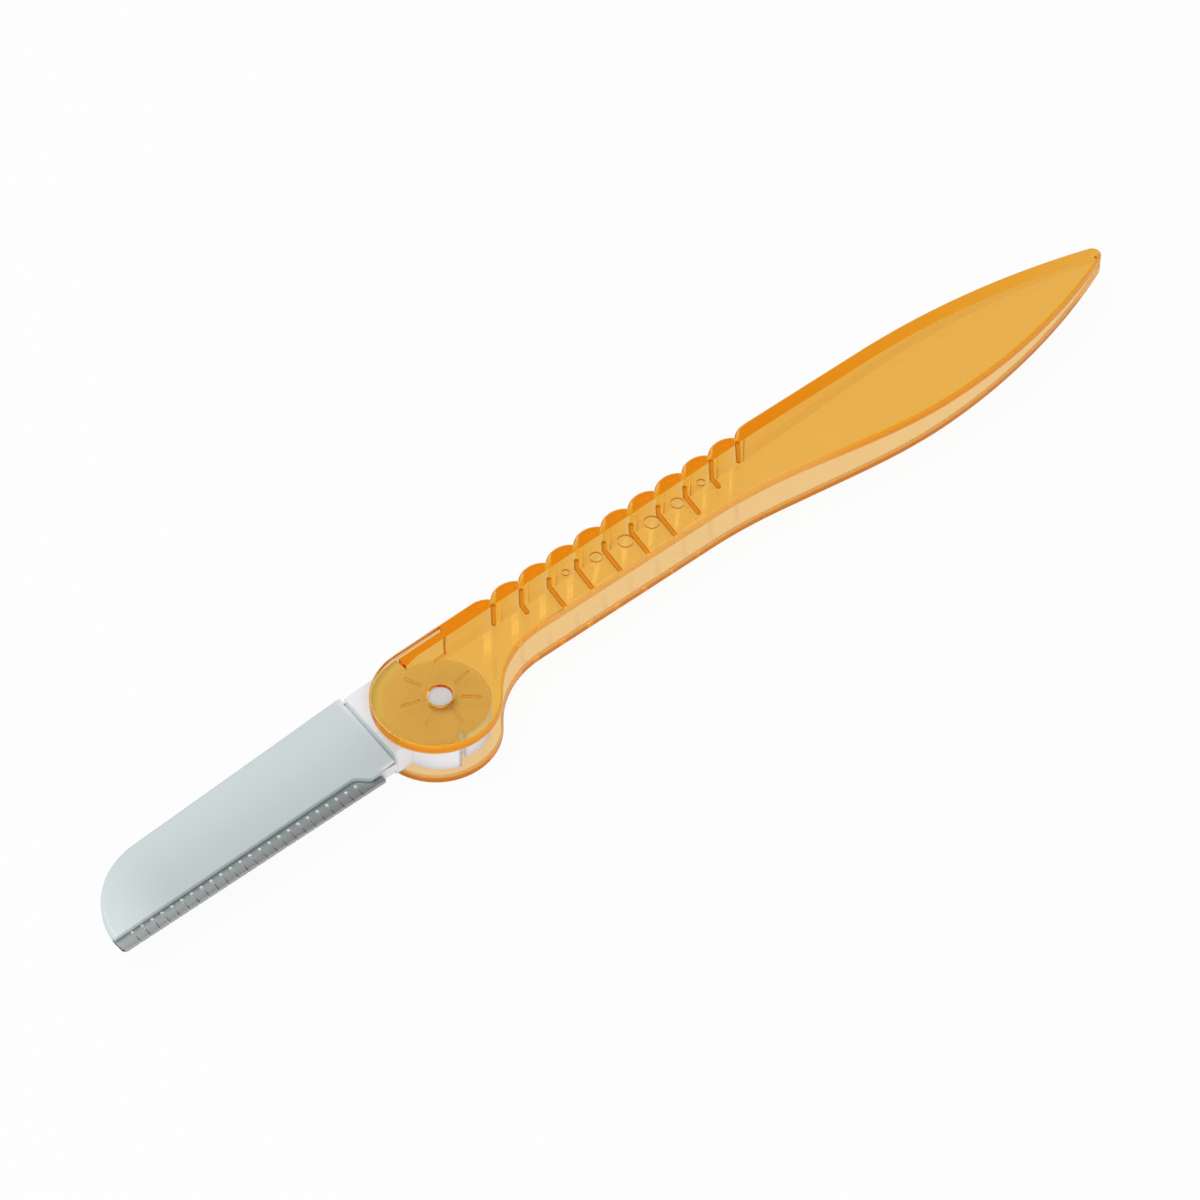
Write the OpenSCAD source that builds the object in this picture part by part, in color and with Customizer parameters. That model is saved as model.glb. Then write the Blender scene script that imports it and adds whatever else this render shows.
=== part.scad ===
// A folding eyebrow razor, lying open on its side.
// X runs from the hinge axis to the tail, Y towards the scalloped back edge, Z up.
// The origin is on the hinge axis, in the plane of the underside.
// The blade points to -X when open and turns about +Z, edge first, into the slot.

/* [Handle outline] */
// Hinge axis to the straight back edge
back_y = 8.4; // [8.2:0.05:9]
// Radius of the round ears at the hinge
ear_r = 8.05; // [7.8:0.05:8.4]
// How far the ears' round centre lies ahead of the hinge axis
ear_lead = 0.35; // [0:0.05:0.6]
// Radius of the hollow between ear and neck
neck_r = 12.4; // [8:0.2:13]
// Slope of the neck's open edge, in degrees
neck_slope = 1.1; // [0:0.1:2]
// Hinge axis to the place where the open edge starts to swell
neck_end = 43; // [38:1:46]
// How far the open edge lies below the hinge axis there
neck_drop = 0.05; // [-0.3:0.05:0.3]
// Hinge axis to the widest place of the tail
belly_x = 80.5; // [74:0.5:86]
// How far the belly reaches below the hinge axis there
belly_drop = 4.8; // [3.8:0.1:5.2]
// Hinge axis to the end of the straight back edge
back_end = 76; // [68:0.5:78]
// Hinge axis to the point in which the tail's two curves would meet
tail_reach = 114.4; // [108:0.2:120]
// Height of that point above the hinge axis
tail_rise = 1.9; // [1.4:0.1:2.6]
// Radius that rounds the tail's point
tail_r = 1.1; // [0.8:0.1:1.6]

/* [Handle section] */
// Thickness of each of the two plates
plate_t = 1.45; // [1.2:0.05:1.8]
// Height of the slot between the plates
slot_h = 4.2; // [4.1:0.1:5]
// Thickness of the back wall that joins the plates
web_t = 1.5; // [1.4:0.05:1.6]
// Hinge axis to the end of the back wall, which stops the open blade
web_start = 0.1; // [0.05:0.05:0.3]
// Extra depth of the back wall at that stop
stop_lip = 0.4; // [0.2:0.05:0.4]
// Length over which the stop runs out into the back wall
stop_run = 2; // [1:0.25:4]
// How far the back wall stands in from the plates' edge beside the ears
web_inset = 0.45; // [0.3:0.05:0.6]
// Hinge axis to the end of that inset
inset_end = 7; // [5:0.5:9]
// Hinge axis to the place from which the handle thins towards the tail
taper_start = 57; // [55:1:74]
// Height of the slot at the tail's end
tail_slot_h = 0.4; // [0.3:0.1:1.4]

/* [Grip] */
// Number of finger bumps along the back edge
bump_count = 9; // [6:1:11]
// Distance from one hollow to the next
bump_pitch = 4.43; // [4:0.01:4.6]
// Depth of the hollows
bump_h = 0.92; // [0.6:0.02:1.1]
// Hinge axis to the first hollow
grip_start = 14.2; // [12:0.2:15]
// Width of the grooves on the upper face
groove_w = 0.6; // [0.4:0.05:0.7]
// Depth of the grooves and beads on the face
groove_d = 0.3; // [0.2:0.05:0.5]
// Radius of the largest bead
bead_r = 1; // [0.7:0.05:1.05]
// Number of rays round the hinge hole
ray_count = 7; // [4:1:8]
// Direction of the first ray, in degrees
ray_turn = 6; // [0:2:60]
// Width and depth of those rays
ray_w = 0.35; // [0.3:0.05:0.5]
ray_d = 0.15; // [0.1:0.05:0.3]

/* [Hinge] */
// Radius of the holder's stub axles
axle_r = 1.5; // [1.2:0.05:1.8]
// Running clearance round the axles
axle_gap = 0.06; // [0.03:0.01:0.1]
// How deep the axle ends lie below the plates' faces
axle_recess = 0.45; // [0.2:0.05:0.7]
// Clearance between the tang and each plate
side_gap = 0.15; // [0.1:0.01:0.3]
// Clearance between the tang and the end of the back wall
stop_gap = 0.15; // [0.1:0.01:0.3]
// Radius of the tang's round boss
boss_r = 6.2; // [5.6:0.1:6.2]
// Radius of the wider lobe on the boss, at its front
lobe_r = 7.1; // [6.6:0.1:7.1]

/* [Blade holder] */
// Hinge axis to the tip of the holder
holder_reach = 50.4; // [46:0.2:54]
// Turn of the blade's own line against the handle's line
blade_tilt = -0.8; // [-1.5:0.1:0]
// Thickness of the thin blade back
back_t = 1.8; // [1.5:0.1:2.2]
// Height of the spine above the hinge axis at the blade back's root
spine_y = 9.3; // [8.9:0.1:9.8]
// Slope of the spine, in degrees
spine_slope = 3; // [2:0.25:4]
// Radius of the round tip
tip_r = 10.4; // [9.6:0.1:11]
// How far the root of the blade back lies behind the front of the ears
root_tuck = 0.2; // [0:0.05:0.4]
// How much further forward the root line lies at the open side
root_skew = 0.9; // [0.6:0.1:1.2]
// Lower corner of the root, below the hinge axis
root_drop = 3.05; // [2.8:0.05:3.2]
// Lower edge of the blade back at its root end, below the hinge axis
cap_drop = 1.55; // [1.4:0.05:1.8]
// Slope of that edge, which lies lower towards the tip, in degrees
cap_slope = 0.85; // [0:0.05:1]
// Height of the tang's spine above the hinge axis
tang_y = 8.3; // [8:0.05:8.5]
// Lower edge of the tang, below the hinge axis
tang_drop = 2.6; // [2.4:0.05:2.8]
// Width of the crease in front of the tang
crease_w = 0.25; // [0.2:0.05:0.5]
// Depth of the crease
crease_d = 0.3; // [0.2:0.05:0.5]

/* [Steel] */
// Outer face of the guard's fold, below the hinge axis
edge_drop = 3.85; // [3.8:0.05:4.2]
// Thickness of the razor blade
blade_t = 0.25; // [0.2:0.01:0.3]
// Width of the razor blade
blade_w = 5; // [4.5:0.1:6]
// Width of the ground bevel at the cutting edge
bevel_w = 0.9; // [0.6:0.05:1.2]
// Hinge axis to the root end of the steel that shows
steel_end = 11.5; // [10.5:0.1:13]
// How far the hidden steel lies in from each end of the steel that shows
steel_in = 1.3; // [1:0.1:1.6]
// Thickness of the guard's foil
foil_t = 0.14; // [0.1:0.01:0.2]
// How far the guard goes up into the holder
foil_seat = 0.7; // [0.5:0.05:1]
// Radius of the guard's corner at the tip
foil_r = 0.6; // [0.4:0.1:1.2]
// Distance from one guard slot to the next
slot_pitch = 1.44; // [1.3:0.02:2]
// Width of a guard slot
slot_w = 0.12; // [0.1:0.02:0.4]
// Length of a guard slot, measured from the fold
slot_l = 1.5; // [1.1:0.1:1.8]
// Seating clearance between steel and plastic
seat_gap = 0.02; // [0.01:0.01:0.04]

/* [Hidden] */

// How far every cut runs past the face that it opens
overrun = 1;
// Angle at which the lobe of the boss ends, and the one at which it has run into the tang
lobe_end = 251;
lobe_merge = 180;
// Width and depth of the notch behind the lobe
notch_w = 0.9;
notch_d = 0.8;
// Inner and outer end of the rays round the hinge hole, from the hinge axis
ray_in = 2.7;
ray_out = 4.9;
// Length of the slope by which the blade back covers the root end of the steel
cover_run = 2.3;
// Where that slope starts, ahead of the root end of the steel
cover_lead = 3.4;

// Each groove runs down from the foot of a hollow to a bend, and from there towards the
// open edge. The heights are shares of back_y, the other shares are of the pitch.
groove_top_share = 0.83;
groove_bend_share = 0.5;
bend_back_share = 0.5;
groove_back_share = 0.66;
// Where each groove starts, as a share of the way from the hollow's foot to the bend
groove_start_shares = [0.22, 0.35, 0.66, 0.66, 0.66, 0.66, 0.66, 0.6, 0.2, 0.17];
// How far each groove runs from its bend towards the hinge axis' height, as a share of
// that way; those above 1 run out through the open edge
groove_run_shares = [0, 0.3, 1.1, 1.1, 1.1, 1.1, 1.1, 0.72, 0.35, 0];
// Size and height of each bead, as shares of the largest bead and of back_y
bead_size_shares = [0.5, 0.8, 1, 1, 0.85, 0.55];
bead_height_shares = [0.55, 0.48, 0.43, 0.45, 0.48, 0.55];
// The first bead lies this many hollows behind the first one
bead_first = 2.17;

handle_t = slot_h + 2 * plate_t;
mid_z = handle_t / 2;
tail_t = tail_slot_h + 2 * plate_t;
ear_cx = -ear_lead;
ear_cy = back_y - ear_r;
ear_front = -ear_lead - ear_r;
web_y = back_y - web_t;

// Degrees between neighbouring points on the arcs of the outline
ear_step = 6;
arc_steps = 24;
tail_steps = 8;
bump_steps = 8;

function arc(c, r, a, b, n) = [for (i = [0:n]) c + r * [cos(a + (b - a) * i / n), sin(a + (b - a) * i / n)]];
function dir_of(v) = atan2(v.y, v.x);

// The hollow between ear and neck touches the ear's circle and the neck's straight edge:
// its centre lies neck_r under that edge and ear_r + neck_r from the ear's centre
neck_dir = [cos(neck_slope), -sin(neck_slope)];
under_neck = [neck_end, -neck_drop] - neck_r * [sin(neck_slope), cos(neck_slope)];
to_under = under_neck - [ear_cx, ear_cy];
neck_run = sqrt(pow(to_under * neck_dir, 2) - to_under * to_under + pow(ear_r + neck_r, 2)) - to_under * neck_dir;
neck_c = under_neck + neck_run * neck_dir;
neck_turn = atan2(neck_c.y - ear_cy, neck_c.x - ear_cx);

// The back curve leaves the straight edge at back_end, the belly curve its lowest point
// at belly_x, and both pass through the tail's point
back_dx = tail_reach - back_end;
back_dy = back_y - tail_rise;
back_R = (back_dx * back_dx + back_dy * back_dy) / (2 * back_dy);
back_c = [back_end, back_y - back_R];
belly_dx = tail_reach - belly_x;
belly_dy = tail_rise + belly_drop;
belly_R = (belly_dx * belly_dx + belly_dy * belly_dy) / (2 * belly_dy);
belly_c = [belly_x, belly_R - belly_drop];

// A circle of tail_r that touches both curves rounds the tail
apart = norm(back_c - belly_c);
reach_a = back_R - tail_r;
reach_b = belly_R - tail_r;
along = (apart * apart + reach_a * reach_a - reach_b * reach_b) / (2 * apart);
aside = sqrt(reach_a * reach_a - along * along);
between = (belly_c - back_c) / apart;
tail_c = back_c + along * between + aside * [between.y, -between.x];
tail_x = tail_c.x + tail_r;
tail_top = dir_of(tail_c - back_c);
tail_low = dir_of(tail_c - belly_c);

// The bumps are arcs of one radius, hollow to hollow
bump_R = (bump_pitch * bump_pitch / 4 + bump_h * bump_h) / (2 * bump_h);
bump_turn = asin(bump_pitch / 2 / bump_R);
function hollow_x(i) = grip_start + i * bump_pitch;
function bump_c(i) = [hollow_x(i) + bump_pitch / 2, back_y - bump_R];

function belly_y(x) =
    let (t = (x - neck_end) / (belly_x - neck_end))
    -neck_drop - (belly_drop - neck_drop) * (1 - cos(180 * t)) / 2;

outline = concat(
    arc([ear_cx, ear_cy], ear_r, 90, 360 + neck_turn, round((270 + neck_turn) / ear_step)),
    arc(neck_c, neck_r, 180 + neck_turn - ear_step, 90 - neck_slope, round((90 + neck_turn) / ear_step)),
    [for (i = [0:arc_steps]) let (x = neck_end + (belly_x - neck_end) * i / arc_steps) [x, belly_y(x)]],
    arc(belly_c, belly_R, 270 + (90 + tail_low) / arc_steps, 360 + tail_low, arc_steps - 1),
    arc(tail_c, tail_r, tail_low + (tail_top - tail_low) / tail_steps, tail_top, tail_steps - 1),
    arc(back_c, back_R, tail_top + (90 - tail_top) / arc_steps, 90, arc_steps - 1),
    arc(bump_c(bump_count), bump_R, 90, 90 + bump_turn, bump_steps / 2),
    [for (i = [bump_count - 1:-1:0], p = [1:bump_steps])
        bump_c(i) + bump_R * [sin(bump_turn * (1 - 2 * p / bump_steps)), cos(bump_turn * (1 - 2 * p / bump_steps))]],
    arc(bump_c(-1), bump_R, 90 - bump_turn * (1 - 2 / bump_steps), 90, bump_steps / 2 - 1)
);

// The space between the plates, seen from above: all of it ahead of the back wall,
// and behind that everything inside the wall
slot_end_turn = acos((tail_x + overrun - back_end) / (back_R - web_t));
slot_outline = concat(
    [[ear_front - overrun, back_y + overrun],
     [ear_front - overrun, -ear_r - overrun],
     [tail_x + overrun, -ear_r - overrun]],
    arc(back_c, back_R - web_t, slot_end_turn, 90, arc_steps),
    [[web_start + stop_run, web_y],
     [web_start, web_y - stop_lip],
     [web_start, back_y + overrun]]
);

// Side profile of the handle, or of its slot: half its height to the taper and at the tail
module side_profile(half, half_tail) {
    fall = (half - half_tail) / (tail_x - taper_start);
    end_half = half_tail - fall * overrun;
    translate([0, back_y + overrun, mid_z]) rotate([90, 0, 0])
        linear_extrude(back_y + ear_r + belly_drop + 2 * overrun)
            polygon([[ear_front - overrun, -half], [taper_start, -half], [tail_x + overrun, -end_half],
                     [tail_x + overrun, end_half], [taper_start, half], [ear_front - overrun, half]]);
}

// A straight groove with round ends
module stroke(a, b, w) {
    translate(a) circle(d = w, $fn = 24);
    translate(b) circle(d = w, $fn = 24);
    translate(a) rotate(dir_of(b - a)) translate([0, -w / 2]) square([norm(b - a), w]);
}

module face_marks() {
    for (i = [0:bump_count]) {
        run = groove_run_shares[min(i, len(groove_run_shares) - 1)];
        start = groove_start_shares[min(i, len(groove_start_shares) - 1)];
        hollow_foot = [hollow_x(i), back_y * groove_top_share];
        bend = [hollow_x(i) - bump_pitch * bend_back_share, back_y * groove_bend_share];
        top = hollow_foot + (bend - hollow_foot) * start;
        foot = [hollow_x(i) - bump_pitch * groove_back_share, 0];
        low = bend + (foot - bend) * run;
        stroke(top, bend, groove_w);
        if (run > 0) stroke(bend, low, groove_w);
    }
    for (i = [0:min(len(bead_size_shares), bump_count - 2) - 1])
        translate([hollow_x(i + bead_first), back_y * bead_height_shares[i]])
            circle(bead_r * bead_size_shares[i], $fn = 48);
}

module ray_marks() {
    for (i = [0:ray_count - 1])
        rotate(ray_turn + 360 * i / ray_count) stroke([ray_in, 0], [ray_out, 0], ray_w);
}

module handle() {
    color("orange") difference() {
        intersection() {
            linear_extrude(handle_t) polygon(outline);
            side_profile(handle_t / 2, tail_t / 2);
        }
        intersection() {
            translate([0, 0, plate_t]) linear_extrude(slot_h) polygon(slot_outline);
            side_profile(slot_h / 2, tail_slot_h / 2);
        }
        translate([web_start - overrun, back_y - web_inset, plate_t])
            cube([inset_end - web_start + overrun, web_inset + overrun, slot_h]);
        translate([0, 0, -overrun]) cylinder(r = axle_r + axle_gap, h = handle_t + 2 * overrun, $fn = 64);
        translate([0, 0, handle_t - groove_d]) linear_extrude(groove_d + overrun) face_marks();
        translate([0, 0, handle_t - ray_d]) linear_extrude(ray_d + overrun) ray_marks();
    }
}

// The visible steel fills the holder's open side from its tip to steel_end
steel_len = holder_reach - steel_end;
slot_count = floor((steel_len - cover_lead) / slot_pitch);

// The blade back's outline in its own straight line, before the tilt
root_x = ear_lead + ear_r - root_tuck;
function spine_at(x) = spine_y + (x + root_x) * tan(spine_slope);
tip_cx = tip_r - holder_reach;
tip_cy = spine_at(tip_cx) - tip_r / cos(spine_slope);
cover_x = -steel_end - cover_lead;
function cap_at(x) = -cap_drop + (x - cover_x) * tan(cap_slope);
cap_turn = 180 + asin((tip_cy - cap_at(-holder_reach)) / tip_r);
blade_back_outline = concat(
    [[-root_x, -tang_drop / 2],
     [-root_x, spine_y]],
    arc([tip_cx, tip_cy], tip_r, 90 + spine_slope, cap_turn, arc_steps),
    [for (i = [0:bump_steps])
        [cover_x + cover_run * i / bump_steps,
         -cap_drop - (root_drop - cap_drop) * (1 - cos(180 * i / bump_steps)) / 2]],
    [[-root_x - root_skew, -root_drop]]
);

tang_x = web_start - stop_gap;
tang_outline = [
    [-root_x, tang_y - stop_gap],
    [-root_x - root_skew, -tang_drop],
    [0, -tang_drop],
    [tang_x, 0],
    [tang_x, tang_y]
];

// Pocket for the steel: a wide mouth for the guard and a thin one for the blade above it
module steel_pocket() {
    mouth_h = blade_t + 2 * foil_t + 4 * seat_gap;
    thin_h = blade_t + 2 * seat_gap;
    len = steel_len - 2 * steel_in + 2 * seat_gap;
    start_x = -holder_reach + steel_in - seat_gap;
    top_y = foil_t + seat_gap - edge_drop + blade_w + seat_gap;
    translate([-holder_reach - overrun, -edge_drop - overrun, mid_z - mouth_h / 2])
        cube([steel_len + overrun + seat_gap, edge_drop - cap_drop + overrun, mouth_h]);
    translate([start_x, -edge_drop, mid_z - mouth_h / 2])
        cube([len, edge_drop - cap_drop + foil_seat + seat_gap, mouth_h]);
    translate([start_x, -edge_drop, mid_z - thin_h / 2]) cube([len, top_y + edge_drop, thin_h]);
}

// The crease runs along the foot of the tang, on both faces of the blade back
module crease() {
    foot_y = tang_y - stop_gap;
    for (z = [mid_z - back_t / 2 - overrun, mid_z + back_t / 2 - crease_d])
        translate([-root_x, foot_y, z]) rotate(dir_of([-root_skew, -tang_drop - foot_y]))
            translate([0, -crease_w, 0])
                cube([foot_y + tang_drop + root_skew + overrun, crease_w, crease_d + overrun]);
}

module blade_holder() {
    tang_h = slot_h - 2 * side_gap;
    color("white") {
        difference() {
            union() {
                rotate(blade_tilt) translate([0, 0, mid_z - back_t / 2])
                    linear_extrude(back_t) polygon(blade_back_outline);
                translate([0, 0, mid_z - tang_h / 2]) linear_extrude(tang_h) difference() {
                    union() {
                        polygon(tang_outline);
                        circle(boss_r, $fn = 96);
                        intersection() {
                            circle(lobe_r, $fn = 96);
                            polygon([[0, 0], 2 * lobe_r * [cos(lobe_end), sin(lobe_end)],
                                     [-2 * lobe_r, -2 * lobe_r], 2 * lobe_r * [cos(lobe_merge), sin(lobe_merge)]]);
                        }
                    }
                    rotate(lobe_end) translate([boss_r - notch_d, 0]) square([lobe_r, notch_w]);
                }
                translate([0, 0, axle_recess]) cylinder(r = axle_r, h = handle_t - 2 * axle_recess, $fn = 64);
            }
            rotate(blade_tilt) steel_pocket();
            difference() {
                crease();
                translate([0, 0, mid_z - tang_h / 2]) linear_extrude(tang_h) polygon(tang_outline);
            }
        }
    }
}

// Razor blade: a strip with both faces ground to the cutting edge
module razor_blade() {
    bottom = foil_t + seat_gap - edge_drop;
    start_x = -holder_reach + steel_in;
    len = steel_len - 2 * steel_in;
    color("silver") rotate(blade_tilt) translate([start_x, bottom, mid_z])
        rotate([90, 0, 90]) linear_extrude(len)
            polygon([[0, 0], [bevel_w, blade_t / 2], [blade_w, blade_t / 2],
                     [blade_w, -blade_t / 2], [bevel_w, -blade_t / 2]]);
}

// Skin guard: one foil folded round the cutting edge, slotted across the fold
module guard_face() {
    translate([-holder_reach + foil_r, -edge_drop]) square([steel_len - foil_r, edge_drop - cap_drop - seat_gap]);
    translate([-holder_reach, foil_r - edge_drop]) square([steel_len, edge_drop - cap_drop - seat_gap - foil_r]);
    translate([-holder_reach + foil_r, foil_r - edge_drop]) circle(foil_r, $fn = 48);
    translate([-holder_reach + steel_in, -edge_drop])
        square([steel_len - 2 * steel_in, edge_drop - cap_drop + foil_seat]);
}

module skin_guard() {
    outer_h = blade_t + 2 * foil_t + 2 * seat_gap;
    inner_h = blade_t + 2 * seat_gap;
    first_slot = -holder_reach + (steel_len - cover_lead + cover_run - (slot_count - 1) * slot_pitch) / 2;
    color("gray") rotate(blade_tilt) difference() {
        translate([0, 0, mid_z - outer_h / 2]) linear_extrude(outer_h) guard_face();
        translate([-holder_reach - overrun, foil_t - edge_drop, mid_z - inner_h / 2])
            cube([steel_len + 2 * overrun, edge_drop + overrun, inner_h]);
        for (i = [0:slot_count - 1])
            translate([first_slot + i * slot_pitch - slot_w / 2, -edge_drop - overrun, mid_z - outer_h])
                cube([slot_w, slot_l + overrun, 2 * outer_h]);
    }
}

handle();
blade_holder();
razor_blade();
skin_guard();
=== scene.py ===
# %% [markdown]
# # A folding eyebrow razor
# The razor lies open on its side on a white table. Its handle is one clear orange moulding:
# two plates joined by a wall along the scalloped back. A white blade holder turns between
# the plates, and carries a razor strip under a folded steel foil with fine slots.
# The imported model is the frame: every piece below is in metres and in the same place.

# %% Load the frame
import math

import bmesh
import bpy
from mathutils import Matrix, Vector


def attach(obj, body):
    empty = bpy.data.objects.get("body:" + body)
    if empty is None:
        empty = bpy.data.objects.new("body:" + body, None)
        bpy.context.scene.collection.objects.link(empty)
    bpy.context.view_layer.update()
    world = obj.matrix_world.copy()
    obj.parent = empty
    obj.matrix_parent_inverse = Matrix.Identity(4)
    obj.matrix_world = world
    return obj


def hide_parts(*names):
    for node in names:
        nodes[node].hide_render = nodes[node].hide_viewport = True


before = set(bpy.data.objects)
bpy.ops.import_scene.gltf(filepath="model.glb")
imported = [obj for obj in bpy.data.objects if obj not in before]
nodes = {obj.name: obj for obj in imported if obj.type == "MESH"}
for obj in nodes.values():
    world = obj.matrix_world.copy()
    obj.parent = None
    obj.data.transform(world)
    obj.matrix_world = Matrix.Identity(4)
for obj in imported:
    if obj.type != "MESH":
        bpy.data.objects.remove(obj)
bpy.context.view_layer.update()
MM = 0.001
print("pieces:", sorted(nodes))

# %% [markdown]
# ## The camera
# A photograph of a small thing is taken from some way off with a long lens, so that its far
# end looks hardly smaller. A camera could be turned by eye until the picture fits, but then
# a wrong angle could hide behind a wrong shape. So its direction and distance were worked
# out from forms that are known: the round ears, the hinge hole and the even pitch of the
# finger bumps. The camera stands 0.65 m away, about half way between the side and the top.

# %% Place the camera
film_width, picture_width, focal_length_in_pixels = 36.0, 1200, 5268.5
aim = Vector((27.94, 2.93, 0.0)) * MM
turn, lift, distance = math.radians(-40.93), math.radians(50.5), 0.65
nearest_seen = 0.01
back = Vector((math.sin(turn) * math.cos(lift), -math.cos(turn) * math.cos(lift), math.sin(lift)))
camera = bpy.data.objects.new("camera", bpy.data.cameras.new("camera"))
bpy.context.scene.collection.objects.link(camera)
bpy.context.scene.camera = camera
camera.data.lens = film_width * focal_length_in_pixels / picture_width
camera.data.sensor_width = film_width
camera.data.clip_start = nearest_seen
camera.location = aim + back * distance
camera.rotation_mode = "QUATERNION"
camera.rotation_quaternion = (-back).to_track_quat("-Z", "Y")
print("lens", round(camera.data.lens, 1), "mm at", [round(v, 3) for v in camera.location])

# %% [markdown]
# ## Writing materials as sums
# A node material is a sum drawn as boxes and wires. Two small classes let it be written as
# a sum instead. A Wire stands for one output, and adding, subtracting or multiplying wires
# adds the Math nodes. A Recipe is one tree of nodes, and its add method makes any other node.

# %% Wires


class Wire:
    def __init__(self, recipe, socket):
        self.recipe, self.socket = recipe, socket

    def maths(self, operation, *others, swapped=False):
        values = others + (self,) if swapped else (self,) + others
        return self.recipe.add("ShaderNodeMath", {"operation": operation}, dict(enumerate(values)))

    def __add__(self, other):
        return self.maths("ADD", other)

    def __sub__(self, other):
        return self.maths("SUBTRACT", other)

    def __mul__(self, other):
        return self.maths("MULTIPLY", other)

    def __rsub__(self, other):
        return self.maths("SUBTRACT", other, swapped=True)

    __radd__, __rmul__ = __add__, __mul__

    def rise(self, low, high):
        """0 up to low, 1 from high on, and a smooth rise between them."""
        settings = {"interpolation_type": "SMOOTHSTEP"}
        inputs = {"Value": self, "From Min": low, "From Max": high}
        return self.recipe.add("ShaderNodeMapRange", settings, inputs)


print("wires can be added, subtracted and multiplied")

# %% Recipes


class Recipe:
    def __init__(self, tree):
        self.tree = tree

    def add(self, kind, settings=None, inputs=None, output=0):
        node = self.tree.nodes.new(kind)
        for name, value in (settings or {}).items():
            setattr(node, name, value)
        self.fill(node, inputs or {})
        return Wire(self, node.outputs[output])

    def fill(self, node, inputs):
        for name, value in inputs.items():
            if isinstance(value, Wire):
                self.tree.links.new(value.socket, node.inputs[name])
            else:
                node.inputs[name].default_value = value

    def plastic_or_metal(self, **inputs):
        """A Principled shader; an underscore in a name stands for a space."""
        spaced = {name.replace("_", " "): value for name, value in inputs.items()}
        return self.add("ShaderNodeBsdfPrincipled", inputs=spaced)

    def finish(self, name, **wires):
        """Wires up the output of a material or a world."""
        self.fill(self.tree.nodes[name], wires)

    def place(self):
        """Object coordinates in metres: the vector, and its three parts."""
        vector = self.add("ShaderNodeTexCoord", output="Object")
        parts = self.add("ShaderNodeSeparateXYZ", inputs={"Vector": vector}).socket.node.outputs
        return vector, Wire(self, parts["X"]), Wire(self, parts["Y"]), Wire(self, parts["Z"])

    def kept_on_mesh(self, name):
        """A value that each face or corner of the mesh carries under this name."""
        return self.add("ShaderNodeAttribute", {"attribute_name": name}, output="Fac")

    def noise(self, vector, spots_per_metre, detail=2.0, stretch=(1, 1, 1)):
        """A soft random value from 0 to 1."""
        placed = self.add("ShaderNodeMapping", inputs={"Vector": vector, "Scale": stretch})
        inputs = {"Vector": placed, "Scale": spots_per_metre, "Detail": detail}
        return self.add("ShaderNodeTexNoise", inputs=inputs)

    def blend(self, factor, first, second):
        """From the first colour to the second as the factor goes from 0 to 1."""
        inputs = {"Factor": factor, "A": first, "B": second}
        return self.add("ShaderNodeMix", {"data_type": "RGBA"}, inputs, "Result")

    def bump(self, height, depth):
        """A surface that is raised by depth, in metres, where the height is 1."""
        return self.add("ShaderNodeBump", inputs={"Height": height, "Distance": depth})

    def light(self, kind, colour, strength):
        """A shader that shines: Emission on a surface, Background in a world."""
        return self.add(kind, inputs={"Color": (*colour, 1), "Strength": strength})

    def ray_is(self, kind):
        """1 for rays of one kind, such as those from the camera, and 0 for all others."""
        return self.add("ShaderNodeLightPath", output=f"Is {kind} Ray")

    def mix(self, factor, first, second):
        """From the first shader to the second as the factor goes from 0 to 1."""
        return self.add("ShaderNodeMixShader", inputs={0: factor, 1: first, 2: second})


def new_recipe(name):
    material = bpy.data.materials.new(name)
    material.use_nodes = True
    material.node_tree.nodes.remove(material.node_tree.nodes["Principled BSDF"])
    return Recipe(material.node_tree), material


WHITE = (1, 1, 1)
print("ready to write materials")

# %% [markdown]
# ## The table
# The photograph has a white ground with next to no shadow, as a light table gives. Lamps under
# a glass plate would do the same, but they would light the razor from below too. The table
# here is a matte white plane, and its material asks what kind of ray is looking. The camera
# and reflections see mostly an even white glow, and the part that stays matte keeps a faint
# shadow. Through the clear plastic the glow is a little dimmer and pinker. That was matched
# to the photograph, because over a plain white two plates come out too bright and greenish.

# %% Lay the table
recipe, table_white = new_recipe("table_white")
grain = recipe.noise(recipe.place()[0], 40)
white_paper = recipe.blend(grain, (0.79, 0.79, 0.79, 1), (0.81, 0.81, 0.81, 1))
matte = recipe.plastic_or_metal(Base_Color=white_paper, Roughness=0.9)
glow = recipe.light("ShaderNodeEmission", WHITE, 1.0)
glow_under_plastic = recipe.light("ShaderNodeEmission", (1, 0.82, 0.9), 0.84)
glow_share = 0.94
seen = glow_share * recipe.ray_is("Camera") + glow_share * recipe.ray_is("Glossy")
bare_table = recipe.mix(seen, matte, glow)
shown = recipe.mix(recipe.ray_is("Transmission"), bare_table, glow_under_plastic)
recipe.finish("Material Output", Surface=shown)

half_width, gap_under_razor = 1.5, 0.05 * MM
form = bmesh.new()
bmesh.ops.create_grid(form, x_segments=1, y_segments=1, size=half_width)
bmesh.ops.translate(form, verts=form.verts, vec=(0, 0, -gap_under_razor))
table = bpy.data.objects.new("table", bpy.data.meshes.new("table"))
form.to_mesh(table.data)
form.free()
table.data.materials.append(table_white)
bpy.context.scene.collection.objects.link(table)
print("table:", [round(v, 2) for v in table.dimensions], "m")

# %% [markdown]
# ## The light
# Small products are photographed in a tent of white cloth, so that soft light comes from
# everywhere. A white world is such a tent. Glossy faces that look up would mirror it and lose
# their own colour, so for reflections the room above the table is nearly dark. Past the
# table's end, and through the clear plastic, the world is plain white.

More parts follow.
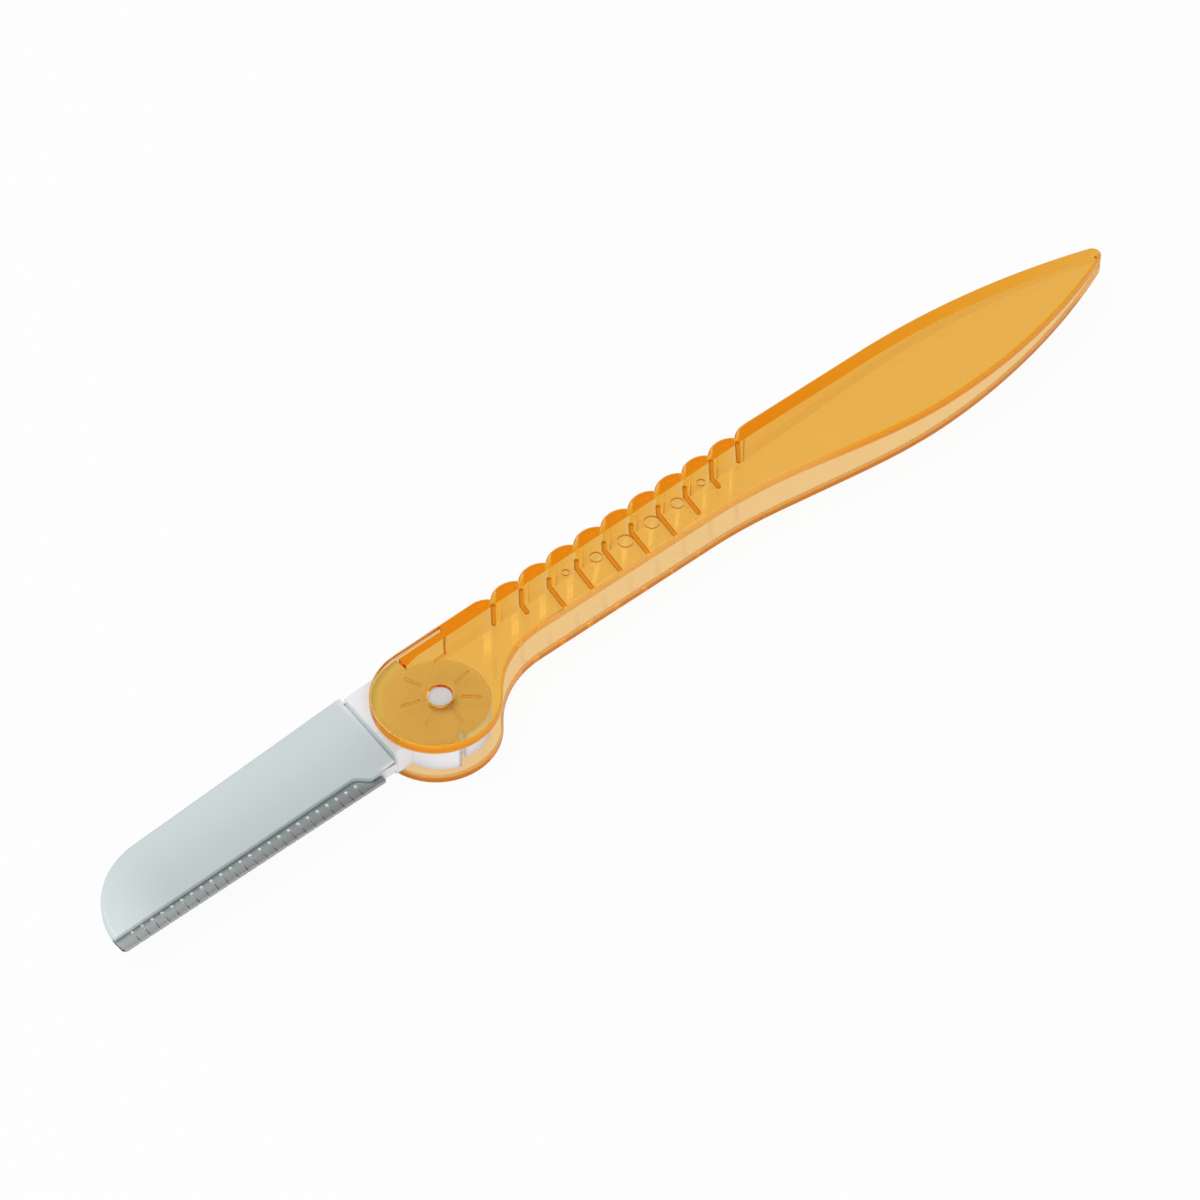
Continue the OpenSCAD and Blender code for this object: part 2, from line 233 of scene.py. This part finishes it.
# %% Put up the tent
world = bpy.data.worlds.new("tent")
bpy.context.scene.world = world
world.use_nodes = True
recipe = Recipe(world.node_tree)
recipe.tree.nodes.remove(recipe.tree.nodes["Background"])
tent = recipe.light("ShaderNodeBackground", WHITE, 0.6)
dark_room = recipe.light("ShaderNodeBackground", WHITE, 0.08)
plain = recipe.light("ShaderNodeBackground", WHITE, 1.0)
around = recipe.mix(recipe.ray_is("Glossy"), tent, dark_room)
seen = recipe.ray_is("Camera") + recipe.ray_is("Transmission")
recipe.finish("World Output", Surface=recipe.mix(seen, around, plain))
bpy.context.scene.view_settings.view_transform = "Standard"
print("the world has", len(recipe.tree.nodes), "nodes")

# %% [markdown]
# A tent alone lights every side alike. Two lamps, one behind and one in front on the left,
# give the round forms a light and a shaded side. They could be small and bright, but then
# they would throw hard shadows, so they are soft squares, 0.6 m wide.
#
# Light that gets into clear plastic is thrown to and fro inside it many times. With the few
# bounces that Blender starts with it would be lost on the way, and the plastic turn dark.

# %% Hang two soft lamps
bounces = 32
cycles = bpy.context.scene.cycles
cycles.max_bounces = cycles.glossy_bounces = cycles.transmission_bounces = bounces
lamp_width = 0.6


def lamp(name, watts, place):
    """A square soft lamp that looks at the middle of the razor."""
    light = bpy.data.objects.new(name, bpy.data.lights.new(name, "AREA"))
    light.data.energy, light.data.size = watts, lamp_width
    light.location = aim + Vector(place)
    light.rotation_mode = "QUATERNION"
    light.rotation_quaternion = Vector(place).to_track_quat("Z", "Y")
    bpy.context.scene.collection.objects.link(light)
    print(name, "has", watts, "W at", [round(v, 2) for v in light.location])


lamp("lamp_back", 2.5, (-0.15, 0.45, 0.6))
lamp("lamp_front", 1.8, (-0.35, -0.55, 0.3))

# %% [markdown]
# ## Clear orange plastic
# Clear plastic has no colour at its surface. Light takes on colour on its way through: one
# plate looks pale, two plates look orange, and the back wall, seen through its whole
# height, a deep orange. A tinted surface would make them all alike, so the colour here is
# absorption in the volume. The skin is polished, and waves a little as mouldings do.
#
# The bumps' flanks that face the hinge, and the tip of the tail, are frosted. They are
# rougher and a little milky, so that they don't throw white glints. Which faces these are
# is kept on the mesh as the value frost, because no sum on a place could pick them out.

# %% Clear plastic: the skin and the depth
recipe, orange = new_recipe("clear_orange_plastic")
where, x, y, z = recipe.place()
frost = recipe.kept_on_mesh("frost")
polish, frosting, milky_share, wave_depth = 0.02, 0.5, 0.6, 0.03 * MM
clear = recipe.plastic_or_metal(
    Base_Color=recipe.blend(recipe.noise(where, 200), (1.0, 0.99, 0.97, 1), (1.0, 0.98, 0.94, 1)),
    Roughness=polish + polish * recipe.noise(where, 400, 3.0) + frosting * frost,
    IOR=1.49,
    Transmission_Weight=1.0,
    Normal=recipe.bump(recipe.noise(where, 90, 1.0), wave_depth),
)
milky = recipe.add("ShaderNodeBsdfTranslucent", inputs={"Color": (1.0, 0.8, 0.45, 1)})
skin = recipe.mix(frost * milky_share, clear, milky)
passes, density = (0.994, 0.814, 0.057), 700.0
depth = recipe.add("ShaderNodeVolumeAbsorption", inputs={"Color": (*passes, 1), "Density": density})
print("red, green and blue taken up per mm:", [round(density * MM * (1 - c), 3) for c in passes])

# %% [markdown]
# ## Cloudy faces
# The cut grooves and the plates' own sides aren't polished. They scatter the light that comes
# through the body, and so show as solid orange. Real scattering inside the plastic would take
# very long to render, so these faces get a plain coloured surface, mixed in by the value
# haze. Another value, side_height, goes from 0 at the lower edge of a plate's side to 1 at
# its upper edge. The lower plate's side is a dark line with a paler upper part, and the dark
# line is painted shade where the plate stands on the table. The upper plate's side is pale
# low down, and above that deep at the ear and along the paddle, lightening again at its
# upper edge as a painted highlight along the rim.

# %% Clear plastic: the cloudy faces
haze = recipe.kept_on_mesh("haze")
side_height = recipe.kept_on_mesh("side_height")
grip_start, grip_end, between_plates = (9 * MM, 20 * MM), (54 * MM, 70 * MM), (3 * MM, 4 * MM)
groove_orange = (0.78, 0.29, 0.008, 1)
# The dark lower end of low_side is painted shade at the table; the light top ends of deep and pale are
# a painted highlight along the upper rim.
low_side = recipe.blend(side_height.rise(0.5, 1.0), (0.66, 0.22, 0.01, 1), (0.84, 0.44, 0.12, 1))
deep = recipe.blend(side_height.rise(0.6, 1.0), (0.84, 0.29, 0.002, 1), (0.9, 0.38, 0.015, 1))
pale = recipe.blend(side_height.rise(0.6, 1.0), (0.88, 0.42, 0.06, 1), (0.92, 0.46, 0.09, 1))
on_grip = x.rise(*grip_start) * (1 - x.rise(*grip_end))
upper_part = recipe.blend(on_grip, deep, pale)
high_side = recipe.blend(side_height.rise(0.0, 0.3), (0.88, 0.42, 0.08, 1), upper_part)
side = recipe.blend(z.rise(*between_plates), low_side, high_side)
scattered = recipe.plastic_or_metal(
    Base_Color=recipe.blend(haze.rise(0.92, 0.95), side, groove_orange),
    Roughness=0.3 + 0.1 * recipe.noise(where, 3000, 3.0),
    Specular_IOR_Level=0.1,
)
recipe.finish("Material Output", Surface=recipe.mix(haze, skin, scattered), Volume=depth)
print("clear_orange_plastic has", len(recipe.tree.nodes), "nodes")

# %% [markdown]
# ## White plastic
# The blade back is thin and has the steel strip inside it, so it looks a cool grey white.
# It is darker towards the steel, partly from the steel showing through and partly as painted
# shade, and paler at the tip as painted light. The tang is thicker and a fuller white.
# These could be separate materials, but the holder is one moulding without a seam, so one
# material changes with the place. The top of the boss is always under a clear ear, and has
# a slightly pinker white there, because orange over a cool white looks olive. The pink is
# painted light for what reaches the boss through the orange ears. The ends of the stub
# axles, in the ears' holes, are a little darker, as painted shade down in the holes.

# %% White plastic
recipe, white_plastic = new_recipe("white_plastic")
where, x, y, z = recipe.place()
over_steel_with_shade, beside_steel, lit_tip = (0.5, 0.57, 0.57, 1), (0.6, 0.67, 0.68, 1), (0.66, 0.74, 0.74, 1)
tang_white, boss_light_through_ears, shaded_axle_white = (0.86, 0.86, 0.89, 1), (0.88, 0.785, 0.93, 1), (0.64, 0.62, 0.6, 1)
steel_to_spine, into_tip, strip_lean = (-3 * MM, 7 * MM), (40 * MM, 51 * MM), 0.04
# Darker towards the steel is partly the steel showing through and partly painted shade; the paler tip
# is painted light.
near_steel = recipe.blend((y + x * strip_lean).rise(*steel_to_spine), over_steel_with_shade, beside_steel)
blade_back = recipe.blend((0 - x).rise(*into_tip), near_steel, lit_tip)
# The tang's foot slants, so its lower corner reaches further towards the tip.
into_corner, down_corner, into_tang = (-12 * MM, -10.5 * MM), (2 * MM, 3.1 * MM), (-9.3 * MM, -7.8 * MM)
low_corner = x.rise(*into_corner) * (0 - y).rise(*down_corner)
tang = recipe.blend(x.rise(*into_tang) + low_corner * 0.9, blade_back, tang_white)
# The boss's top is at 5.5 mm, and the axle stands up from it.
boss_level, axle_level, under_ear = (5.4 * MM, 5.48 * MM), (5.5 * MM, 5.7 * MM), (6.8 * MM, 7.5 * MM)
from_axle = (x * x + y * y).maths("SQRT")
on_boss = z.rise(*boss_level) * (1 - from_axle.rise(*under_ear))
# The boss's pinker white is painted light, for the light that reaches it through the orange ears.
without_axle = recipe.blend(on_boss, tang, boss_light_through_ears)
# The axle ends are painted darker, as painted shade down in the ears' holes.
on_axle = z.rise(*axle_level)
grain, grain_depth = recipe.noise(where, 3000, 3.0), 0.003 * MM
skin = recipe.plastic_or_metal(
    Base_Color=recipe.blend(on_axle, without_axle, shaded_axle_white),
    Roughness=0.34 + 0.1 * grain,
    IOR=1.5,
    Normal=recipe.bump(grain, grain_depth),
)
recipe.finish("Material Output", Surface=skin)
print("white_plastic has", len(recipe.tree.nodes), "nodes")

# %% [markdown]
# ## The foil's steel
# The foil is rolled stainless steel with a satin skin: fine streaks along its length, from
# noise that is squeezed across. Towards its edge it is darker in the photograph, so two
# shades are blended. The 24 slots are real cuts in the mesh. The bright dot at each slot's
# upper end is a painted highlight, the glint of light on the slot's end, white and not metal
# so that it stays bright. PINGPONG folds the distance along the row to and fro, which gives
# the distance to the nearest slot, for all 24 at once.

# %% Foil steel, with painted glints at the slots
recipe, foil_steel = new_recipe("foil_steel")
where, x, y, z = recipe.place()
streaks_per_metre, darker_from = 1500, (2.2 * MM, 3.6 * MM)
rolled = recipe.noise(where, streaks_per_metre, 3.0, (1, 12, 12))
upper_steel = recipe.blend(rolled, (0.4, 0.45, 0.44, 1), (0.54, 0.59, 0.58, 1))
lower_steel = recipe.blend(rolled, (0.33, 0.34, 0.33, 1), (0.44, 0.45, 0.44, 1))
satin = recipe.blend((0 - y).rise(*darker_from), upper_steel, lower_steel)
slot_count, slot_pitch, first_slot, slot_top = 24, 1.44 * MM, -48.06 * MM, -2.35 * MM
# The foil leans by 0.8 degrees, so the row's own directions are turned by as much.
lean_cos, lean_sin, row_end = 0.9999, 0.014, 0.01 * MM
glint_width, glint_length = (0.1 * MM, 0.22 * MM), (0.12 * MM, 0.26 * MM)
along, across = x * lean_cos - y * lean_sin - first_slot, y * lean_cos + x * lean_sin
after_first = (along + slot_pitch / 2).rise(0, row_end)
after_last = (along - (slot_count - 0.5) * slot_pitch).rise(0, row_end)
beside_slot = 1 - along.maths("PINGPONG", slot_pitch / 2).rise(*glint_width)
at_slot_top = 1 - (across - slot_top).maths("ABSOLUTE").rise(*glint_length)
# The glint is a painted highlight: bright white, not metal, at each slot's upper end.
painted_glint = after_first * (1 - after_last) * beside_slot * at_slot_top
metal = recipe.plastic_or_metal(
    Base_Color=recipe.blend(painted_glint, satin, (0.85, 0.87, 0.87, 1)),
    Metallic=1 - painted_glint,
    Roughness=0.3 + 0.2 * rolled,
)
recipe.finish("Material Output", Surface=metal)
print("painted_glints at", slot_count, "slots,", round(slot_pitch / MM, 2), "mm apart")

# %% [markdown]
# ## The blade's steel
# The razor strip is ground across its edge, so its fine streaks run the other way and it is
# brighter. Little of it shows: a glint in each slot, and the strip's end.

# %% Razor steel
recipe, razor_steel = new_recipe("razor_steel")
where = recipe.place()[0]
ground = recipe.noise(where, streaks_per_metre, 3.0, (20, 1, 1))
metal = recipe.plastic_or_metal(
    Base_Color=recipe.blend(ground, (0.72, 0.75, 0.74, 1), (0.84, 0.87, 0.86, 1)),
    Metallic=0.8,
    Roughness=0.2 + 0.15 * ground,
)
recipe.finish("Material Output", Surface=metal)
print("materials:", [m.name for m in (orange, white_plastic, foil_steel, razor_steel)])

# %% [markdown]
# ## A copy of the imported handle
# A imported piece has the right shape, but it is a net of loose triangles and its edges are as
# sharp as knives, so light never catches on them. It could be modelled again from nothing,
# but then its measures would have to be found twice. So it is copied, the copy's double
# points are merged, and triangles that lie in one plane are made whole faces again.

# %% Copy the handle
same_point, same_plane = 0.002 * MM, math.radians(0.4)


def merged(node):
    """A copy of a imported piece, with its loose triangles joined into whole faces."""
    form = bmesh.new()
    form.from_mesh(nodes[node].data)
    bmesh.ops.remove_doubles(form, verts=form.verts, dist=same_point)
    bmesh.ops.dissolve_limit(form, angle_limit=same_plane, verts=form.verts, edges=form.edges)
    print(len(nodes[node].data.polygons), "triangles of the", node, "became", len(form.faces), "faces")
    return form


form = merged("handle")

# %% [markdown]
# ## The handle's cloudy faces
# The orange material needs to know which faces the mould left cloudy. They could be picked
# by hand, but a script has to find them again each time it runs, so they are told by their
# form: by how high a face is, how it is turned and at which level it lies.

# %% Tell faces apart by their form
top_z, middle_z, same_level = 7.1 * MM, 3.55 * MM, 0.02 * MM


def height(face):
    return max(v.co.z for v in face.verts) - min(v.co.z for v in face.verts)


def is_flat(face):
    return abs(face.normal.z) > 0.95


def is_steep(face):
    return abs(face.normal.z) < 0.3


def is_wall(face, lowest):
    return is_steep(face) and height(face) > lowest


def lies_at(face, level):
    return is_flat(face) and abs(face.calc_center_median().z - level) < same_level


print("faces at the top of the handle:", sum(1 for face in form.faces if lies_at(face, top_z)))

# %% [markdown]
# The cloudy faces are the grooves' floors and low walls, the floors of the shallow rays round
# the hinge, and the sides of the two plates, which are clearer in the hinge's holes. The
# bumps' flanks that face the hinge and the tip of the tail are frosted. All this is written
# on the faces before the rims are rounded, while each face is still whole.

# %% Mark the handle's cloudy and frosted faces
groove_depth, ray_depth, tallest_plate_side, hinge_end = 0.3 * MM, 0.15 * MM, 2.4 * MM, 10 * MM
groove_haze, side_haze, half_haze, ray_haze, hole_haze = 0.97, 0.9, 0.5, 0.22, 0.15


def roundness(face):
    """1 for a circle, and less the longer a face is for its width."""
    return 4 * math.pi * face.calc_area() / face.calc_perimeter() ** 2


def is_groove(face):
    """A groove's floor or wall. The beads are as deep, but their round floors stay clear."""
    is_floor = lies_at(face, top_z - groove_depth) and roundness(face) < 0.8
    return is_floor or (is_steep(face) and height(face) < groove_depth * 1.1)


def is_plate_side(face):
    """A side of one plate alone, above or below the slot, that isn't turned to the back."""
    levels = [v.co.z for v in face.verts]
    in_one_plate = min(levels) > middle_z or max(levels) < middle_z
    is_low = height(face) < tallest_plate_side
    return is_wall(face, 1.0 * MM) and is_low and in_one_plate and face.normal.y < 0.2


def is_tail_tip(face):
    """One of the few small faces that end the tail, where both plates and the wall meet."""
    faces_along = abs(face.normal.x) > 0.8 and face.normal.y < 0.2
    is_small = face.calc_area() < 3 * MM * MM
    behind_hinge = face.calc_center_median().x > hinge_end
    return is_wall(face, 3.0 * MM) and is_small and faces_along and behind_hinge


def is_bump_flank(face):
    """The side of a bump that is turned to the hinge."""
    return is_wall(face, 5.0 * MM) and face.normal.y > 0.2 and face.normal.x < -0.12


def near_axle(face):
    """A wall or rim of the hinge's holes."""
    middle = face.calc_center_median()
    return math.hypot(middle.x, middle.y) < 2.5 * MM


haze_layer, frost_layer = form.faces.layers.float.new("haze"), form.faces.layers.float.new("frost")
for face in form.faces:
    if is_groove(face):
        face[haze_layer] = groove_haze
    elif lies_at(face, top_z - ray_depth):
        face[haze_layer] = ray_haze
    elif is_plate_side(face):
        face[haze_layer] = hole_haze if near_axle(face) else side_haze
    elif is_tail_tip(face) or is_bump_flank(face):
        face[frost_layer] = 1.0
print("cloudy faces:", sum(1 for face in form.faces if face[haze_layer] > 0))
print("frosted faces:", sum(1 for face in form.faces if face[frost_layer] > 0))

# %% [markdown]
# ## The handle's rims
# A rim is a convex edge between a flat face and a wall, and a rule says which rims are
# wanted. The outer ones are rounded more, as a hand feels them, and those inside the slot a
# little. The lower rim along the scalloped back is left out: from above it shows only
# through the clear wall, where a rounding would draw one more bright line. The roundings on
# the open side are as cloudy as the sides, and those that face along the razor half as much.

# %% Round the handle's rims
lowest_wall, outer_radius, inner_radius = 1.0 * MM, 0.3 * MM, 0.2 * MM


def rims(form, wanted):
    """The convex edges between a flat face and a wall, where the rule wants them."""
    found = []
    for edge in form.edges:
        if len(edge.link_faces) == 2 and edge.is_convex:
            flat, wall = sorted(edge.link_faces, key=lambda face: -abs(face.normal.z))
            if is_flat(flat) and is_wall(wall, lowest_wall) and wanted(flat, wall, edge):
                found.append(edge)
    return found


def round_rims(form, edges, radius, segments):
    """Rounds edges, and returns the faces of the rounding."""
    print("rounding", len(edges), "edges by", round(radius / MM, 2), "mm")
    return bmesh.ops.bevel(
        form, geom=edges, offset=radius, offset_type="OFFSET", segments=segments, profile=0.5,
        affect="EDGES", clamp_overlap=False, material=-1, miter_outer="ARC",
    )["faces"]


def is_outer(flat, wall, edge):
    return flat.normal.z * (flat.calc_center_median().z - middle_z) > 0


def is_outer_and_seen(flat, wall, edge):
    return is_outer(flat, wall, edge) and (flat.normal.z > 0 or wall.normal.y < 0.3)


def is_inner(flat, wall, edge):
    return not is_outer(flat, wall, edge)


def rim_haze(face):
    """How cloudy a rounding is, by how far it is turned to the handle's open side."""
    if near_axle(face):
        return hole_haze
    if face.normal.y < -0.25:
        return side_haze
    return half_haze if face.normal.y < 0.2 else 0.0


outer = round_rims(form, rims(form, is_outer_and_seen), outer_radius, 4)
inner = round_rims(form, rims(form, is_inner), inner_radius, 3)
for face in outer + inner:
    if face.is_valid:
        face[haze_layer] = rim_haze(face)

# %% [markdown]
# ## Up and down on a plate's side
# The plates' sides change in colour from their lower edge to their upper one, and where the
# handle thins, those edges slope, so a height above the table can't say it. The value
# side_height is kept on the corners of the faces and not on the faces, because then it also
# changes within one face: 0 at the corners below a side's middle and 1 at those above it.
# A rounding is narrow and gets one value all over.

# %% Write side_height on the corners
height_layer = form.loops.layers.float.new("side_height")
sides, lowest_side = 0, 0.6 * MM
for face in form.faces:
    middle = face.calc_center_median().z
    if is_wall(face, lowest_side) and height(face) < tallest_plate_side:
        sides += 1
        for corner in face.loops:
            corner[height_layer] = 1.0 if corner.vert.co.z > middle else 0.0
    elif 0.45 < face[haze_layer] < 0.95:
        # These are the roundings, with side_haze or half_haze.
        for corner in face.loops:
            corner[height_layer] = 1.0 if face.normal.z > 0 else 0.0
print("side faces that change from edge to edge:", sides)

# %% [markdown]
# ## A finished copy
# Every copy is shaded smooth but for its real edges, those of more than 35 degrees. Smooth
# shading alone would make the large flat faces look dented beside their rounded rims, so
# the Weighted Normal modifier lets the larger face decide. Then the copy takes its packed
# piece's place, gets its material and moves with its body.

# %% Finish the handle
sharpest_smooth = math.radians(35)


def finish_copy(form, name, material, node, body):
    """Makes a piece from a form and puts it in the place of a packed one."""
    piece = bpy.data.objects.new(name, bpy.data.meshes.new(name))
    form.to_mesh(piece.data)
    open_edges = sum(1 for edge in form.edges if not edge.is_manifold)
    form.free()
    for polygon in piece.data.polygons:
        polygon.use_smooth = True
    piece.data.set_sharp_from_angle(angle=sharpest_smooth)
    piece.data.materials.append(material)
    bpy.context.scene.collection.objects.link(piece)
    even = piece.modifiers.new("even_shading", "WEIGHTED_NORMAL")
    even.weight, even.keep_sharp = 100, True
    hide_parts(node)
    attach(piece, body)
    print(name, "has", len(piece.data.polygons), "faces and", open_edges, "open edges")


finish_copy(form, "clear_handle", orange, "handle", "handle")

# %% [markdown]
# ## The blade holder
# The white moulding is a thin blade back, a thicker tang and a round boss between the ears.
# Fingers and skin touch the blade back's long spine and round tip, so these are rounded by
# half a millimetre, and the tang and the boss only a little. The crease in front of the
# tang stays sharp, or it would be a soft dent and not the thin line that it is.

# %% Round the holder's edges
form = merged("blade_holder")
half_back, crease_depth, shortest_edge = 0.9 * MM, 0.3 * MM, 0.3 * MM
back_top, back_low = middle_z + half_back, middle_z - half_back
crease_end_x, crease_end_y = -11.6 * MM, -2.9 * MM
spine_radius, tang_radius = 0.5 * MM, 0.2 * MM


def on_spine(flat, wall, edge):
    return (lies_at(flat, back_top) or lies_at(flat, back_low)) and wall.normal.y > -0.3


def on_tang_or_boss(flat, wall, edge):
    in_crease = lies_at(flat, back_top - crease_depth) or lies_at(flat, back_low + crease_depth)
    by_crease = all(v.co.y < crease_end_y and v.co.x > crease_end_x for v in edge.verts)
    left_sharp = in_crease or by_crease or edge.calc_length() <= shortest_edge
    return not (left_sharp or on_spine(flat, wall, edge))


round_rims(form, rims(form, on_spine), spine_radius, 4)
round_rims(form, rims(form, on_tang_or_boss), tang_radius, 3)
finish_copy(form, "white_holder", white_plastic, "blade_holder", "blade_arm")

# %% [markdown]
# ## The steel pieces
# The foil is folded from thin sheet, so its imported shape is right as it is, and it only gets
# its material. The razor strip is a copy whose cutting edge is moved 0.15 mm further into
# the fold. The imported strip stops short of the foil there, and the slots would look empty.

# %% Finish the foil and the strip
nodes["skin_guard"].data.materials.clear()
nodes["skin_guard"].data.materials.append(foil_steel)
edge_shift = 0.15 * MM
form = merged("razor_blade")
cutting_edge = [v for v in form.verts if abs(v.co.z - middle_z) < same_level]
bmesh.ops.translate(form, verts=cutting_edge, vec=(0, -edge_shift, 0))
print("cutting edge moved at", len(cutting_edge), "corners")
finish_copy(form, "ground_blade", razor_steel, "razor_blade", "blade_arm")
